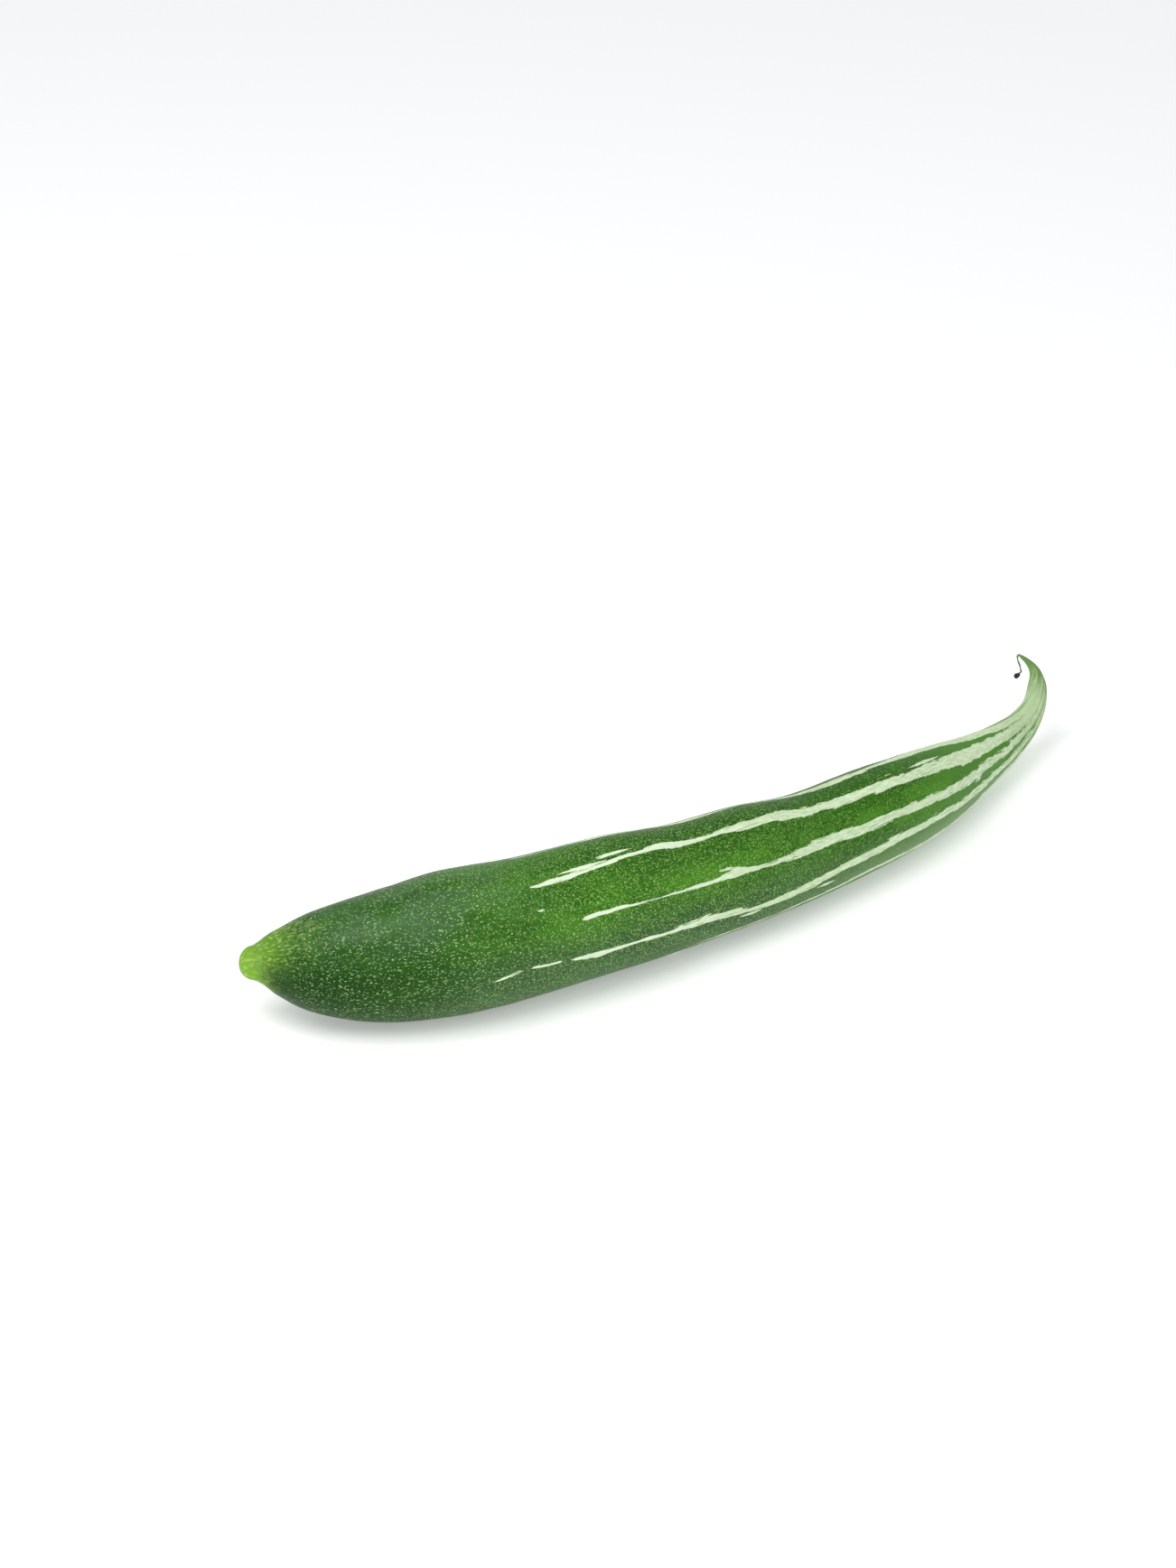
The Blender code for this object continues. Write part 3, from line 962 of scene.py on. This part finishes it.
def buildKnob():
    low, high = (np.array(corner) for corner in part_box("withered_knob"))
    centre = (low + high) / 2.0
    ahead = np.array(knob["ahead"])
    ahead /= np.linalg.norm(ahead)
    reach = ahead * knob["length"] / 2.0
    turns = np.linspace(0.0, pi, knob["rings"] + 2)[1:-1]
    line = centre - reach * np.cos(turns)[:, None]
    lengthwise, across = knob["wrinkleStretch"]
    broad, fine = knob["wrinkleScales"]

    def radiusAt(part, angle):
        turn = turns[int(round(part * (knob["rings"] - 1)))]
        shape = sin(turn) ** knob["bluntness"] * (1.0 - knob["lopsided"] * cos(turn))
        girth = sin(turn) * across
        spot = Vector((cos(turn) * lengthwise, girth * cos(angle), girth * sin(angle)))
        wrinkled = 1.0 + knob["wrinkle"] * (noise.noise(spot * broad) + 0.5 * noise.noise(spot * fine))
        folds = 1.0 + knob["foldDepth"] * cos(knob["folds"] * angle + knob["foldTwist"] * cos(turn))
        return knob["width"] / 2.0 * shape * wrinkled * folds

    rings = tubeRings(line, radiusAt, knob["around"])
    return loft("withered_knob_wrinkled", rings, centre - reach, centre + reach)


def knobMaterial():
    finish = Finish("withered_scrap_crust")
    crust = finish.cloud(finish.objectPlace(), *knob["crust"])
    finish.set(
        Base_Color=finish.ramp(crust, knob["tones"]),
        Roughness=knob["rough"] + knob["roughShift"] * (crust - 0.5),
        Normal=finish.bump(crust, knob["bumpDepth"]),
    )
    return finish.material


# Metres, and linear colours. A light is its name, place, power, size and colour.
studio = {
    "floorHalf": 20.0,
    "floorTone": (0.90, 0.905, 0.91, 1.0),
    "floorShade": (0.88, 0.89, 0.90, 1.0),
    "floorShadeShare": 0.04,
    "floorGrain": ((3.0, 3.0, 3.0), 2.0),
    "floorRough": 0.75,
    "floorRoughShift": 0.1,
    "floorSpecular": 0.15,
    "floorGlow": 0.29,
    "glowTone": (1.0, 1.0, 1.0, 1.0),
    "skyTone": (0.97, 0.985, 1.0, 1.0),
    "skyStrength": 0.54,
    "lights": (
        ("key_light", (-0.50, -0.42, 1.12), 8.6, 0.9, (1.0, 0.985, 0.96)),
        ("fill_light", (0.15, -0.95, 1.15), 3.2, 1.2, (0.96, 0.98, 1.0)),
    ),
}
# The camera, in metres, degrees and for the lens millimetres.
view = {
    "azimuth": -36.0,
    "elevation": 28.0,
    "distance": 1.52,
    "lens": 100.0,
    "sensor": 36.0,
    "aim": (0.0390, 0.1043, 0.0),
}


def buildFloor():
    half = studio["floorHalf"]
    mesh = bpy.data.meshes.new("studio_floor")
    corners = [(-half, -half, 0.0), (half, -half, 0.0), (half, half, 0.0), (-half, half, 0.0)]
    mesh.from_pydata(corners, [], [(0, 1, 2, 3)])
    finish = Finish("studio_white")
    grain = finish.cloud(finish.objectPlace(), *studio["floorGrain"])
    share = studio["floorShadeShare"] * grain
    finish.set(
        Base_Color=finish.mix(share, studio["floorTone"], studio["floorShade"]),
        Roughness=studio["floorRough"] + studio["floorRoughShift"] * grain,
        Specular_IOR_Level=studio["floorSpecular"],
        Emission_Color=studio["glowTone"],
        Emission_Strength=studio["floorGlow"],
    )
    mesh.materials.append(finish.material)
    return addObject("studio_floor", mesh)


def acrossView(rightward, away, up):
    # a place from the origin, in metres to the right of the view, away from it and up
    turn = radians(view["azimuth"])
    return Vector((rightward * cos(turn) - away * sin(turn), rightward * sin(turn) + away * cos(turn), up))


def addLight(name, place, power, size, colour):
    lamp = bpy.data.lights.new(name, "AREA")
    lamp.energy = power
    lamp.shape = "DISK"
    lamp.size = size
    lamp.color = colour
    made = addObject(name, lamp)
    made.location = acrossView(*place)
    made.rotation_euler = (-made.location).to_track_quat("-Z", "Y").to_euler()


def buildLight():
    world = bpy.data.worlds.new("studio_sky")
    bpy.context.scene.world = world
    world.use_nodes = True
    sky = world.node_tree.nodes["Background"]
    sky.inputs["Color"].default_value = studio["skyTone"]
    sky.inputs["Strength"].default_value = studio["skyStrength"]
    for light in studio["lights"]:
        addLight(*light)
    bpy.context.scene.view_settings.view_transform = "Standard"


def buildCamera():
    turn, lift = radians(view["azimuth"]), radians(view["elevation"])
    back = Vector((sin(turn) * cos(lift), -cos(turn) * cos(lift), sin(lift)))
    lens = bpy.data.cameras.new("camera")
    lens.lens = view["lens"]
    lens.sensor_width = view["sensor"]
    camera = addObject("camera", lens)
    camera.location = Vector(view["aim"]) + back * view["distance"]
    camera.rotation_euler = back.to_track_quat("Z", "Y").to_euler()
    bpy.context.scene.camera = camera


def placePiece(made, node, material):
    made.data.materials.append(material)
    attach(made, body)
    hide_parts(node)


buildFloor()
buildLight()
buildCamera()
print("studio ready")

skin, tip = buildSkin()
placePiece(skin, "fruit", skinMaterial())
print("fruit skin ready:", len(skin.data.polygons), "faces")

placePiece(buildThread(tip), "stalk_thread", threadMaterial())
placePiece(buildKnob(), "withered_knob", knobMaterial())
print("dried stalk and knob ready")
